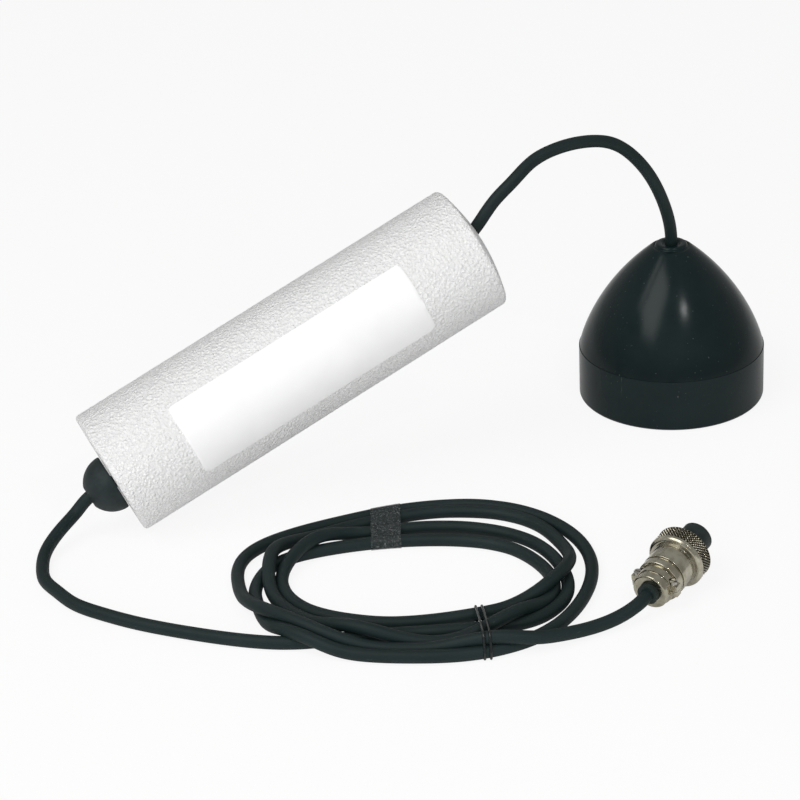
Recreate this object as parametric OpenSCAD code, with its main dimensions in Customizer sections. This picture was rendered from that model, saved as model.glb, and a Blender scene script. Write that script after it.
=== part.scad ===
// Ice-fishing sonar transducer: a bell-shaped puck on a cable, with a foam float,
// a float stop, a tied coil of cable and a round screw-on plug.
// Millimetres. The puck stands on the floor with its axis along +Z, at the origin.

/* [Puck] */
// outside diameter of the puck
puck_d = 64; // [60:1:70]
// height of the straight band
band_h = 18.4; // [17:0.2:21]
// height of the dome's nose above the floor
nose_h = 57.5; // [54:0.5:61]
// thickness of the sounding window
window_t = 3; // [2:0.5:4]
// wall of the cup
cup_wall = 2.6; // [2:0.1:3]
// step between the band and the dome
seam_step = 0.2; // [0.2:0.1:0.8]

/* [Crystal] */
// diameter of the ceramic crystal
crystal_d = 40; // [30:1:44]
// thickness of the ceramic crystal
crystal_t = 10; // [7:0.5:10.5]
// thickness of the soft ring round the crystal
sleeve_t = 3; // [2:0.5:4]

/* [Float] */
// diameter of the foam float
float_d = 43; // [39:1:46]
// length of the foam float
float_len = 139; // [133:1:145]
// bore of the foam float
float_bore_d = 14; // [14:0.5:15]
// rounding of the float's ends
float_edge = 1.5; // [1:0.5:4]
// bulge of the float's upper end
float_dome = 3.2; // [2:0.2:5]
// length of the label
label_len = 87; // [70:1:95]
// width of the label, as an angle round the float
label_angle = 69; // [50:1:90]
// diameter of the stop
stop_d = 18.8; // [18:0.2:22]

/* [Cable] */
// diameter of the cable
cable_d = 4.2; // [3.8:0.1:4.4]

/* [Coil] */
// greatest width of the coil
coil_w = 115; // [110:1:120]
// depth of the coil from front to back
coil_depth = 98; // [94:1:102]
// width of the bundle of turns
bundle_w = 20; // [17:0.5:21]
// height of the bundle of turns
bundle_h = 9.2; // [8.4:0.2:10]

/* [Plug] */
// outside diameter of the coupling ring
ring_d = 18.4; // [17.8:0.1:19.2]
// diameter of the plug's barrel
barrel_d = 14.3; // [14.1:0.1:14.5]
// diameter of the cable clamp
clamp_d = 12.4; // [11.8:0.1:12.8]
// diameter of the black nose
plug_nose_d = 10; // [9.8:0.1:10.4]
// length of the plug from clamp to nose
plug_len = 31; // [30:0.5:33]
// number of contacts
contact_count = 4; // [3:1:5]

/* [Hidden] */
$fn = 96;

// puck
puck_r = puck_d / 2;
dome_r = puck_r - seam_step;
cup_r = puck_r - cup_wall;
lip_wall = 2.5;
lip_h = 3;
lip_gap = 0.05;
lip_r = cup_r - lip_wall;
foot_edge = 0.8;
nose_r = 5.4;
gland_r = 5.2;
gland_hole_r = 4;
gland_seat = nose_h - 2.6;
gland_edge = nose_h - 1.1;
gland_top = nose_h + 0.6;
gland_top_r = cable_d / 2 + 0.7;
dome_top = nose_h - 1.3;
core_top = nose_h - 4.9;
dome_steps = 24;
bow_in = 0.5;
bow_up = 2.5;
bow_r = 0.84;
bow_h = 0.52;
core_in = 0.2;
core_up = 2;
core_h = 0.45;

// crystal stack
crystal_r = crystal_d / 2;
stack_r = crystal_r + sleeve_t;
crystal_top = window_t + crystal_t;
backing_t = 3.5;
backing_top = crystal_top + backing_t;
backing_hole_r = 2.2;
bead_r = 0.8;
bead_h = 1;
lead_r = 0.4;
lead_x = 0.9;
cable_start = 34;
anchor_low = 36;
anchor_h = 8;
anchor_r = 3.6;

// cable
cable_r = cable_d / 2;
cable_sides = 10;

// float: centre of its lower end, direction and yaw
float_r = float_d / 2;
float_rise = 23.24;
float_yaw = 26;
float_clear = 0.25;
float_foot = [-179.6, -102.2, float_r * cos(float_rise) + float_clear];
float_bore_r = float_bore_d / 2;
label_t = 0.2;
label_gap = 0.05;
float_face = float_r - float_edge;
bulge_steps = 8;
label_from = 219;
label_s = (float_len - label_len) / 2;
stop_r = stop_d / 2;
stop_flat = 0.6;
stop_drop = float_bore_r - cable_r - 1.7;
stop_neck_r = 3.2;
stop_neck = 11;
stop_gap = 0.2;

// coil: an oval of four arcs, its middle on the floor at coil_at
coil_at = [-79.5, -136.6, 0];
coil_a = (coil_w - bundle_w) / 2;
coil_b = (coil_depth - bundle_w) / 2;
turn_angle = 65;
end_x = (coil_a - coil_b) / (1 + tan(turn_angle) - 1 / cos(turn_angle));
end_r = coil_a - end_x;
side_y = end_x * tan(turn_angle);
side_r = coil_b + side_y;
bundle_sides = 7;
tie_angle = 2.5;
tie_in = 0.8;
tie_out = 0.4;
tie_at = 291;
tape_angle = 8;
tape_t = 0.3;
tape_at = 98;

// plug: centre of its rear face, tilt and yaw; it lies on the ring and the cable holds its rear end
ring_r = ring_d / 2;
barrel_r = barrel_d / 2;
clamp_r = clamp_d / 2;
plug_nose_r = plug_nose_d / 2;
clamp_ring = 2.7;
drum_from = 5.7;
drum_end = 8.3;
neck_end = 9;
bevel_end = 9.4;
thread_from = 11;
clip_from = 14.75;
clip_w = 0.8;
clip_r = barrel_r + 0.4;
clip_split = 1;
groove_r = barrel_r - 0.5;
ring_from = 15.6;
lip_end = 16.75;
shell_end = 16.8;
flange_end = 17.8;
body_end = 19.6;
ring_end = 22.2;
ring_slot = 17.1;
ring_slot_w = 0.5;
ring_slot_t = 0.4;
ring_bevel = 0.7;
metal_edge = 0.4;
pin_from = 21.6;
nose_bevel = 0.5;
run_gap = 0.05;
thread_r = ring_r - 1.05;
flange_r = barrel_r + 0.6;
body_r = barrel_r - 1;
sleeve_end_r = barrel_r - 1.2;
insert_r = plug_nose_r - 0.2;
insert_from = 11.6;
cavity_r = 4.4;
cavity_from = 7.5;
bush_r = cable_r + 1.2;
bush_out = 1.6;
cable_in = 7.9;
end_ring_r = clamp_r - 0.4;
drum_r = barrel_r - 0.1;
neck_r = barrel_r - 0.6;
plug_tilt = 9;
plug_yaw = 61.2;
plug_lift = 0.02;
plug_z = ring_r * cos(plug_tilt) - (ring_from + ring_bevel) * sin(plug_tilt) + plug_lift;
plug_at = [-6.5, -152.4, plug_z];
plug_dir = [cos(plug_tilt) * cos(plug_yaw), cos(plug_tilt) * sin(plug_yaw), sin(plug_tilt)];
saddle_end = drum_from + 0.1;
saddle_gap = 0.06;
split_gap = 0.16;
ear_in = 3.4;
ear_out = 7.8;
ear_t = 1.8;
ear_from = 2.95;
ear_len = 2.6;
ear_gap = 0.1;
screw_y = 6.2;
screw_s = 4.25;
screw_r = 0.8;
screw_head_r = 1.2;
screw_head_t = 1.2;
screw_head_gap = 0.15;
screw_top = 2 * ear_t + split_gap + screw_head_t;
screw_slot_w = 0.4;
screw_slot_t = 0.5;
set_screw_r = 0.9;
set_screw_s = 12.6;
set_screw_turn = -20;
set_screw_sunk = 0.1;
contact_r = 0.9;
contact_hole_r = 0.55;
contact_ring = 2.8;
contact_turn = 45;
contact_tail = 10;
contact_deep = 7;
contact_sunk = 0.4;
wire_r = 0.35;
wire_ring = 1.1;
key_w = 2.2;
key_r = insert_r + 1.3;
key_turn = 35;
cut = 30;
over = 1;
eps = 0.01;

black = [0.07, 0.08, 0.08];
rubber = [0.10, 0.11, 0.11];
white = [0.93, 0.93, 0.92];
nickel = [0.72, 0.70, 0.64];
brass = [0.78, 0.62, 0.30];
resin = [0.20, 0.17, 0.12];
cork = [0.62, 0.47, 0.30];
ceramic = [0.85, 0.82, 0.74];
copper = [0.75, 0.43, 0.25];
tin = [0.75, 0.75, 0.76];
clear = [0.80, 0.82, 0.80];

// point at t on a curve with end points a and d and handles b and c
function bow(a, b, c, d, t) =
    pow(1 - t, 3) * a + 3 * pow(1 - t, 2) * t * b + 3 * (1 - t) * t * t * c + t * t * t * d;

// outer and inner profile of the dome, as [radius, height]
function dome_out() = [for (i = [0 : dome_steps])
    bow([dome_r, band_h], [dome_r - bow_in, band_h + bow_up],
        [dome_r * bow_r, band_h + (nose_h - band_h) * bow_h], [nose_r, dome_top], i / dome_steps)];
function dome_in() = [for (i = [0 : dome_steps])
    bow([lip_r, band_h], [lip_r - core_in, band_h + core_up],
        [lip_r * bow_r, band_h + (nose_h - band_h) * core_h], [gland_hole_r, core_top], i / dome_steps)];
function back_to_front(list) = [for (i = [len(list) - 1 : -1 : 0]) list[i]];

// a point in the float's own frame: distance along its axis and height above the axis
function in_float(s, up) = [
    float_foot[0] + s * cos(float_rise) * cos(float_yaw) - up * sin(float_rise) * cos(float_yaw),
    float_foot[1] + s * cos(float_rise) * sin(float_yaw) - up * sin(float_rise) * sin(float_yaw),
    float_foot[2] + s * sin(float_rise) + up * cos(float_rise)];

// the float's upper end: a shallow bulge from its rounded edge to the bore
function float_bulge() = [for (i = [0 : bulge_steps])
    let (r = float_face + (float_bore_r - float_face) * i / bulge_steps)
    [r, float_len + float_dome * (1 - pow(r / float_face, 2))]];

// height of the cable in the float's bore at the upper end
bore_up = float_bore_r - cable_r - 0.2;

// cable route from inside the puck, over the arch, through float and stop, to the coil
lead_z = cable_r;
arch_z = gland_top - 58.1;
drop_route = concat(
    [[0, 0, cable_start], [0, 0, 46], [0, 0, gland_top]],
    [for (p = [[-0.8, -2.6, 65.5], [-3.1, -6, 74.7], [-6.9, -9.2, 84.1], [-12.5, -12.6, 92.7],
        [-19.5, -16.9, 99.1], [-28, -22.5, 101.9], [-36, -27.8, 102.1], [-45, -33.4, 99.4]])
        p + [0, 0, arch_z]],
    [for (q = [[18.3, 7.7], [10.6, 5.4], [4.6, 2.5], [0, 0.2]]) in_float(float_len + float_dome + q[0], bore_up + q[1])],
    [for (k = [0.88, 0.72, 0.56, 0.4, 0.24, 0.1])
        in_float(float_len * k, -stop_drop + (bore_up + stop_drop) * (k - 0.1) / 0.9 * k)],
    [in_float(0, -stop_drop), in_float(-stop_neck, -stop_drop - 0.4)],
    [in_float(-stop_neck - 4, -stop_drop - 2)],
    [[-193.5, -112.6, lead_z + 4.8], [-196.3, -118, lead_z + 2.7], [-197.9, -125, lead_z + 0.9],
        [-197.2, -132.4, lead_z + 0.1], [-194.8, -140, lead_z], [-189.8, -146.6, lead_z], [-183, -154, lead_z],
        [-174, -159.6, lead_z], [-162, -165.2, lead_z], [-149, -169.7, lead_z], [-136, -173.2, lead_z],
        [-123, -175.8, lead_z]],
    [[coil_at[0] - 37.5, coil_at[1] - coil_b - 1, lead_z], [coil_at[0] - 27.5, coil_at[1] - coil_b - 1, lead_z]]);

// cable route from the coil into the plug
tail_route = concat(
    [[coil_at[0] + 30.5, coil_at[1] - coil_b, lead_z + 1], [coil_at[0] + 36, coil_at[1] - coil_b + 1.2, lead_z + 0.5]],
    [[-38, -172.4, lead_z], [-31.5, -169.4, lead_z], [-25, -166.4, lead_z + 0.1], [-18.8, -163, lead_z + 0.7],
        [-13.2, -160, lead_z + 2.1]],
    [plug_at - 4.5 * plug_dir, plug_at, plug_at + cable_in * plug_dir]);

// a tube of round section along a route
side_ref = [0.75, -0.3, 0.6];
function unit(v) = v / norm(v);
function tangent(route, i) = unit(route[min(i + 1, len(route) - 1)] - route[max(i - 1, 0)]);
function tube_ring(p, along, r, n) =
    let (u = unit(cross(side_ref, along)), v = cross(along, u))
    [for (k = [0 : n - 1]) p + r * cos(k * 360 / n) * u + r * sin(k * 360 / n) * v];
function tube_points(route, r, n) =
    [for (i = [0 : len(route) - 1]) each tube_ring(route[i], tangent(route, i), r, n)];
function tube_faces(rings, n) = concat(
    [[for (k = [0 : n - 1]) k]],
    [for (i = [0 : rings - 2]) for (k = [0 : n - 1])
        [(i + 1) * n + k, i * n + (k + 1) % n, i * n + k]],
    [for (i = [0 : rings - 2]) for (k = [0 : n - 1])
        [(i + 1) * n + k, (i + 1) * n + (k + 1) % n, i * n + (k + 1) % n]],
    [[for (k = [n - 1 : -1 : 0]) (rings - 1) * n + k]]);
module tube(route) {
    polyhedron(tube_points(route, cable_r, cable_sides), tube_faces(len(route), cable_sides));
}

module ring_solid(r_out, r_in, low, high) {
    translate([0, 0, low])
        difference() {
            cylinder(r = r_out, h = high - low);
            translate([0, 0, -eps]) cylinder(r = r_in, h = high - low + 2 * eps);
        }
}

// puck
module base_cup() {
    color(black)
        rotate_extrude()
            polygon([[0, 0], [puck_r - foot_edge, 0], [puck_r, foot_edge], [puck_r, band_h], [cup_r, band_h],
                [cup_r, window_t], [0, window_t]]);
}

module housing_dome() {
    color(black)
        rotate_extrude()
            polygon(concat(dome_out(),
                [[gland_r, dome_top], [gland_r, gland_seat], [gland_hole_r, gland_seat]],
                back_to_front(dome_in()),
                [[lip_r, band_h - lip_h], [cup_r - lip_gap, band_h - lip_h], [cup_r - lip_gap, band_h]]));
}

module piezo_disc() {
    color(ceramic)
        translate([0, 0, window_t])
            cylinder(r = crystal_r, h = crystal_t);
}

module crystal_sleeve() {
    color(cork)
        ring_solid(stack_r, crystal_r, window_t, crystal_top);
}

module crystal_backing() {
    color(cork)
        ring_solid(stack_r, backing_hole_r, crystal_top, backing_top);
}

module solder_beads() {
    color(tin)
        for (side = [-1, 1])
            translate([side * lead_x, 0, crystal_top])
                cylinder(r = bead_r, h = bead_h);
}

module crystal_leads() {
    color(copper)
        for (side = [-1, 1])
            translate([side * lead_x, 0, crystal_top + bead_h])
                cylinder(r = lead_r, h = cable_start - crystal_top - bead_h);
}

module cable_anchor() {
    color(tin)
        ring_solid(anchor_r, cable_r, anchor_low, anchor_low + anchor_h);
}

module potting_fill() {
    color(resin)
        difference() {
            rotate_extrude()
                polygon(concat([[0, window_t], [cup_r, window_t], [cup_r, band_h - lip_h],
                    [lip_r, band_h - lip_h]], dome_in(), [[0, core_top]]));
            translate([0, 0, window_t - eps]) cylinder(r = stack_r, h = crystal_t + eps);
            ring_solid(stack_r, backing_hole_r, crystal_top - eps, backing_top);
            for (side = [-1, 1])
                translate([side * lead_x, 0, crystal_top - eps]) {
                    cylinder(r = bead_r, h = bead_h + eps);
                    cylinder(r = lead_r, h = cable_start - crystal_top + 2 * eps);
                }
            translate([0, 0, anchor_low]) cylinder(r = anchor_r, h = anchor_h);
            translate([0, 0, cable_start]) cylinder(r = cable_r, h = nose_h);
        }
}

module cable_gland() {
    color(rubber)
        rotate_extrude()
            polygon([[cable_r, core_top], [gland_hole_r, core_top], [gland_hole_r, gland_seat],
                [gland_r, gland_seat], [gland_r, gland_edge], [gland_top_r, gland_top],
                [cable_r, gland_top]]);
}

// cable
module drop_cable() {
    color(rubber) tube(drop_route);
}

module tail_cable() {
    color(rubber) tube(tail_route);
}

module bundle_shape(w, h, low) {
    translate([-(w - h) / 2, low]) square([w - h, h]);
    for (side = [-1, 1])
        translate([side * (w - h) / 2, low + h / 2]) circle(d = h);
}

module arc_run(at, r, from, angle, w, h, low) {
    translate(coil_at + at)
        rotate([0, 0, from])
            rotate_extrude(angle = angle)
                translate([r, 0]) bundle_shape(w, h, low);
}

// a band across one of the coil's long sides: outer shape less inner shape
module coil_band(at, from, angle, out, in) {
    difference() {
        arc_run(at, side_r, from, angle, bundle_w + 2 * out, bundle_h + out, 0);
        arc_run(at, side_r, from - over, angle + 2 * over, bundle_w - 2 * in, bundle_h - 2 * in, in);
    }
}

// centre and radius of the oval's arc at an angle
function arc_at(turn) =
    turn < turn_angle ? [end_x, 0, end_r] :
    turn < 180 - turn_angle ? [0, -side_y, side_r] :
    turn < 180 + turn_angle ? [-end_x, 0, end_r] : [0, side_y, side_r];

// one ring of the coil at an angle, drawn in by the tie or the tape that lies there
function coil_ring(turn, in) =
    let (arc = arc_at(turn), w = bundle_w - 2 * in, h = bundle_h - 2 * in, n = bundle_sides)
    [for (k = [0 : 2 * n - 1])
        let (side = k < n ? 1 : -1, q = (k % n) * 180 / (n - 1) - 90,
            out = side * ((w - h) / 2 + h / 2 * cos(q)), up = bundle_h / 2 + side * h / 2 * sin(q),
            r = arc[2] + out)
        coil_at + [arc[0] + r * cos(turn), arc[1] + r * sin(turn), up]];

function steps(from, to, n) = [for (i = [0 : n - 1]) [from + (to - from) * i / n, 0]];
coil_stations = concat(
    steps(-turn_angle, turn_angle, 12), steps(turn_angle, tape_at, 4),
    [[tape_at, 0], [tape_at, tape_t], [tape_at + tape_angle / 2, tape_t], [tape_at + tape_angle, tape_t]],
    steps(tape_at + tape_angle, 180 - turn_angle, 2), steps(180 - turn_angle, 180 + turn_angle, 12),
    steps(180 + turn_angle, tie_at, 5), [[tie_at, 0], [tie_at, tie_in], [tie_at + tie_angle, tie_in]],
    steps(tie_at + tie_angle, 360 - turn_angle, 1));
coil_points = [for (st = coil_stations) each coil_ring(st[0], st[1])];
coil_faces = let (n = 2 * bundle_sides, m = len(coil_stations))
    [for (i = [0 : m - 1]) for (k = [0 : n - 1]) each [
        [i * n + k, i * n + (k + 1) % n, (i + 1) % m * n + k],
        [i * n + (k + 1) % n, (i + 1) % m * n + (k + 1) % n, (i + 1) % m * n + k]]];

module cable_coil() {
    color(rubber) polyhedron(coil_points, coil_faces);
}

module coil_tie() {
    color(black)
        coil_band([0, side_y, 0], tie_at, tie_angle, tie_out, tie_in);
}

module coil_tape() {
    color(clear)
        coil_band([0, -side_y, 0], tape_at, tape_angle, 0, tape_t);
}

// float
module float_pose() {
    translate(float_foot)
        rotate([0, 90 - float_rise, float_yaw])
            children();
}

module foam_float() {
    color(white)
        float_pose()
            rotate_extrude() {
                translate([float_bore_r, float_edge])
                    square([float_r - float_bore_r, float_len - 2 * float_edge]);
                translate([float_bore_r, 0])
                    square([float_r - float_edge - float_bore_r, float_len]);
                translate([float_r - float_edge, float_edge]) circle(r = float_edge);
                translate([float_r - float_edge, float_len - float_edge]) circle(r = float_edge);
                polygon(concat([[float_bore_r, float_len - over], [float_face, float_len - over]], float_bulge()));
            }
}

module float_label() {
    color(white)
        float_pose()
            rotate([0, 0, label_from])
                rotate_extrude(angle = label_angle)
                    translate([float_r + label_gap, label_s]) square([label_t, label_len]);
}

module float_stop() {
    color(rubber)
        float_pose()
            translate([stop_drop, 0, -stop_gap])
                rotate([180, 0, 0])
                    rotate_extrude()
                        difference() {
                            union() {
                                translate([cable_r, 0]) square([stop_r - cable_r, stop_flat]);
                                intersection() {
                                    translate([0, stop_flat]) circle(r = stop_r);
                                    translate([cable_r, stop_flat - eps]) square([stop_r, stop_r + eps]);
                                }
                                translate([cable_r, stop_flat])
                                    square([stop_neck_r - cable_r, stop_neck - stop_flat]);
                            }
                            square([cable_r, stop_neck + stop_r]);
                        }
}

// plug: local Z runs from the rear face to the nose, local X points up
module plug_pose() {
    translate(plug_at)
        rotate([0, 90 - plug_tilt, plug_yaw])
            rotate([0, 0, 180])
                children();
}

module ear(low, hole_r) {
    difference() {
        for (side = [0, 1])
            mirror([0, side, 0])
                translate([low, ear_in, ear_from]) cube([ear_t, ear_out - ear_in, ear_len]);
        screw_holes(hole_r);
        translate([0, 0, -eps]) cylinder(r = bush_r + ear_gap, h = cavity_from + eps);
    }
}

module screw_holes(r) {
    for (side = [-1, 1])
        translate([-cut / 2, side * screw_y, screw_s])
            rotate([0, 90, 0]) cylinder(r = r, h = cut);
}

module back_shell() {
    color(nickel)
        plug_pose()
            difference() {
                union() {
                    rotate_extrude()
                        polygon([[bush_r, 0], [end_ring_r - metal_edge, 0], [end_ring_r, metal_edge],
                            [end_ring_r, clamp_ring], [clamp_r, clamp_ring], [clamp_r, drum_from],
                            [drum_r - metal_edge, drum_from], [drum_r, drum_from + metal_edge],
                            [drum_r, drum_end], [neck_r, drum_end], [neck_r, neck_end],
                            [barrel_r - metal_edge, neck_end], [barrel_r, bevel_end], [barrel_r, clip_from], [groove_r, clip_from],
                            [groove_r, clip_from + clip_w], [barrel_r, clip_from + clip_w],
                            [barrel_r, shell_end],
                            [body_r, shell_end], [body_r, thread_from], [cavity_r, thread_from],
                            [cavity_r, cavity_from], [bush_r, cavity_from]]);
                    ear(-ear_t, screw_r);
                }
                translate([0, -cut / 2, clamp_ring]) cube([cut, cut, saddle_end - clamp_ring]);
                screw_holes(screw_r);
                rotate([0, 0, set_screw_turn])
                    translate([body_r - over, 0, set_screw_s])
                        rotate([0, 90, 0]) cylinder(r = set_screw_r, h = cut);
            }
}

module clamp_saddle() {
    color(nickel)
        plug_pose()
            difference() {
                union() {
                    intersection() {
                        ring_solid(clamp_r, bush_r, clamp_ring + saddle_gap, saddle_end - saddle_gap);
                        translate([split_gap, -cut / 2, 0]) cube([cut, cut, cut]);
                    }
                    ear(split_gap, screw_r);
                }
                screw_holes(screw_r);
                for (side = [-1, 1])
                    translate([split_gap + ear_t, side * screw_y, screw_s])
                        rotate([0, 90, 0]) cylinder(r = screw_head_r + screw_head_gap, h = cut);
                translate([0, 0, cavity_from - eps]) cylinder(r = cavity_r, h = cut);
            }
}

module clamp_screws() {
    color(tin)
        plug_pose()
            for (side = [-1, 1])
                translate([-ear_t, side * screw_y, screw_s])
                    rotate([0, 90, 0])
                        difference() {
                            union() {
                                cylinder(r = screw_r, h = 2 * ear_t + split_gap);
                                translate([0, 0, 2 * ear_t + split_gap])
                                    cylinder(r = screw_head_r, h = screw_head_t);
                            }
                            translate([-screw_slot_w / 2, -cut / 2, screw_top - screw_slot_t])
                                cube([screw_slot_w, cut, cut]);
                        }
}

module cable_sleeve() {
    color(rubber)
        plug_pose()
            ring_solid(bush_r, cable_r, -bush_out, cavity_from);
}

module plug_body() {
    color(nickel)
        plug_pose()
            rotate_extrude()
                polygon([[insert_r, thread_from], [body_r, thread_from], [body_r, shell_end],
                    [flange_r, shell_end],
                    [flange_r, flange_end], [sleeve_end_r, flange_end], [sleeve_end_r, body_end],
                    [insert_r, body_end]]);
}

module retaining_ring() {
    color(tin)
        plug_pose()
            difference() {
                ring_solid(clip_r, groove_r, clip_from, clip_from + clip_w);
                translate([-clip_r - over, -clip_split / 2, 0]) cube([clip_r, clip_split, cut]);
            }
}

module coupling_ring() {
    color(nickel)
        plug_pose()
            rotate_extrude()
                polygon([[barrel_r + run_gap, ring_from], [ring_r - ring_bevel, ring_from],
                    [ring_r, ring_from + ring_bevel], [ring_r, ring_slot],
                    [ring_r - ring_slot_t, ring_slot], [ring_r - ring_slot_t, ring_slot + ring_slot_w],
                    [ring_r, ring_slot + ring_slot_w], [ring_r, ring_end - metal_edge],
                    [ring_r - metal_edge, ring_end],
                    [thread_r, ring_end], [thread_r, lip_end], [barrel_r + run_gap, lip_end]]);
}

module contact_holes(r, from, to) {
    for (k = [0 : contact_count - 1])
        rotate([0, 0, k * 360 / contact_count + contact_turn])
            translate([contact_ring, 0, from])
                cylinder(r = r, h = to - from);
}

module contact_insert() {
    color(black)
        plug_pose()
            difference() {
                union() {
                    rotate_extrude()
                        polygon([[0, insert_from], [insert_r, insert_from], [insert_r, pin_from],
                            [plug_nose_r, pin_from], [plug_nose_r, plug_len - nose_bevel],
                            [plug_nose_r - nose_bevel, plug_len], [0, plug_len]]);
                    rotate([0, 0, key_turn])
                        difference() {
                            translate([0, -key_w / 2, body_end]) cube([key_r, key_w, pin_from - body_end]);
                            cylinder(r = insert_r - over, h = cut);
                        }
                }
                contact_holes(contact_r, insert_from - over, plug_len + over);
            }
}

module contact_sockets() {
    color(brass)
        plug_pose()
            difference() {
                contact_holes(contact_r, contact_tail, plug_len - contact_sunk);
                contact_holes(contact_hole_r, plug_len - contact_deep, plug_len + over);
            }
}

module core_wires() {
    wire_run = contact_tail - cable_in;
    lean = atan2(contact_ring - wire_ring, wire_run);
    color(copper)
        plug_pose()
            for (k = [0 : contact_count - 1])
                rotate([0, 0, k * 360 / contact_count + contact_turn])
                    translate([wire_ring, 0, cable_in])
                        rotate([0, lean, 0])
                            cylinder(r = wire_r, h = wire_run / cos(lean));
}

module set_screw() {
    color(tin)
        plug_pose()
            rotate([0, 0, set_screw_turn])
                translate([body_r, 0, set_screw_s])
                    rotate([0, 90, 0]) cylinder(r = set_screw_r, h = barrel_r - body_r - set_screw_sunk);
}

base_cup();
housing_dome();
piezo_disc();
crystal_sleeve();
crystal_backing();
solder_beads();
crystal_leads();
cable_anchor();
potting_fill();
cable_gland();
drop_cable();
cable_coil();
tail_cable();
coil_tie();
coil_tape();
foam_float();
float_label();
float_stop();
back_shell();
clamp_saddle();
clamp_screws();
cable_sleeve();
plug_body();
retaining_ring();
coupling_ring();
contact_insert();
contact_sockets();
core_wires();
set_screw();
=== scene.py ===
import bpy
import numpy as np
from mathutils import Matrix


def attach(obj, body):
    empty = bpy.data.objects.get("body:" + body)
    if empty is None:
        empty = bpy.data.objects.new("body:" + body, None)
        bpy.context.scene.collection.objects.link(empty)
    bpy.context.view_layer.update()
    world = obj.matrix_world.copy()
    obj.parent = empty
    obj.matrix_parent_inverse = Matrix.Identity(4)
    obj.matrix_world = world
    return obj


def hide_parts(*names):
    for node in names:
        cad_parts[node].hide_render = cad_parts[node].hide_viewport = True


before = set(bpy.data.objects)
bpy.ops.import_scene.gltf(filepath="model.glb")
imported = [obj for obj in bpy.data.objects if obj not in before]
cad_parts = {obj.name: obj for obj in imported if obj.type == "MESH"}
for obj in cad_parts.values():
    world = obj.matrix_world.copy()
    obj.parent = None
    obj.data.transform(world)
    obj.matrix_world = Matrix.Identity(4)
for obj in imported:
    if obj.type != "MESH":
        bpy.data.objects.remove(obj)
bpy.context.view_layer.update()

scene = bpy.context.scene
scene.view_settings.view_transform = "Standard"
mm = 0.001
print("frame loaded:", len(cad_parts), "nodes")

# camera: the sight line to the puck's foot drops by the elevation, and the lens axis is turned
# from that line by the foot's offset from the middle of the 800 x 800 picture
shot = {"elevation": 26.0, "distance": 1.0, "focalPixels": 2840.0, "footPixel": (671.2, 390.3),
        "picture": 800.0, "sensor": 36.0}


def unit(vectors):
    # each vector divided by its length
    vectors = np.asarray(vectors, float)
    return vectors / np.linalg.norm(vectors, axis=-1, keepdims=True)


def makeCamera():
    drop = np.radians(shot["elevation"])
    toFoot = np.array([0, np.cos(drop), -np.sin(drop)])
    worldAxes = np.stack([[1, 0, 0], [0, np.sin(drop), np.cos(drop)], toFoot], 1)
    half = shot["picture"] / 2
    sight = unit([shot["footPixel"][0] - half, half - shot["footPixel"][1], shot["focalPixels"]])
    upward = unit(np.cross([sight[2], 0, -sight[0]], sight))
    upward = upward * np.sign(upward[1])
    sideways = np.cross(upward, sight)
    sideways = sideways * np.sign(sideways[0])
    right, up, ahead = np.stack([sideways, upward, sight], 1) @ worldAxes.T
    lens = bpy.data.cameras.new("studioCamera")
    lens.sensor_width = shot["sensor"]
    lens.lens = shot["focalPixels"] / shot["picture"] * shot["sensor"]
    lens.clip_start = 0.01
    eye = bpy.data.objects.new("studioCamera", lens)
    scene.collection.objects.link(eye)
    pose = np.eye(4)
    pose[:3, 0], pose[:3, 1], pose[:3, 2] = right, up, -ahead
    pose[:3, 3] = -shot["distance"] * toFoot
    eye.matrix_world = Matrix(pose.tolist())
    scene.camera = eye


makeCamera()
print("camera placed")


# shader maths
def plugIn(tree, spot, value):
    # a wire is linked, anything else becomes the socket's own value
    if isinstance(value, Wire):
        tree.links.new(value.socket, spot)
    else:
        spot.default_value = value


class Wire:
    # a socket that takes part in arithmetic: each operator adds one Math node
    def __init__(self, tree, socket):
        self.tree = tree
        self.socket = socket

    def join(self, operation, first, second):
        made = self.tree.nodes.new("ShaderNodeMath")
        made.operation = operation
        plugIn(self.tree, made.inputs[0], first)
        plugIn(self.tree, made.inputs[1], second)
        return Wire(self.tree, made.outputs[0])

    def __add__(self, other):
        return self.join("ADD", self, other)

    def __radd__(self, other):
        return self.join("ADD", other, self)

    def __sub__(self, other):
        return self.join("SUBTRACT", self, other)

    def __rsub__(self, other):
        return self.join("SUBTRACT", other, self)

    def __mul__(self, other):
        return self.join("MULTIPLY", self, other)

    def __rmul__(self, other):
        return self.join("MULTIPLY", other, self)


class NodeSet:
    # makes any node of one tree: its settings first, then the values or links of its sockets
    def __init__(self, tree):
        self.tree = tree

    def node(self, kind, settings=None, sockets=None, out=0):
        made = self.tree.nodes.new(kind)
        for key, value in (settings or {}).items():
            setattr(made, key, value)
        for key, value in (sockets or {}).items():
            plugIn(self.tree, made.inputs[key], value)
        return Wire(self.tree, made.outputs[out])


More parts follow.
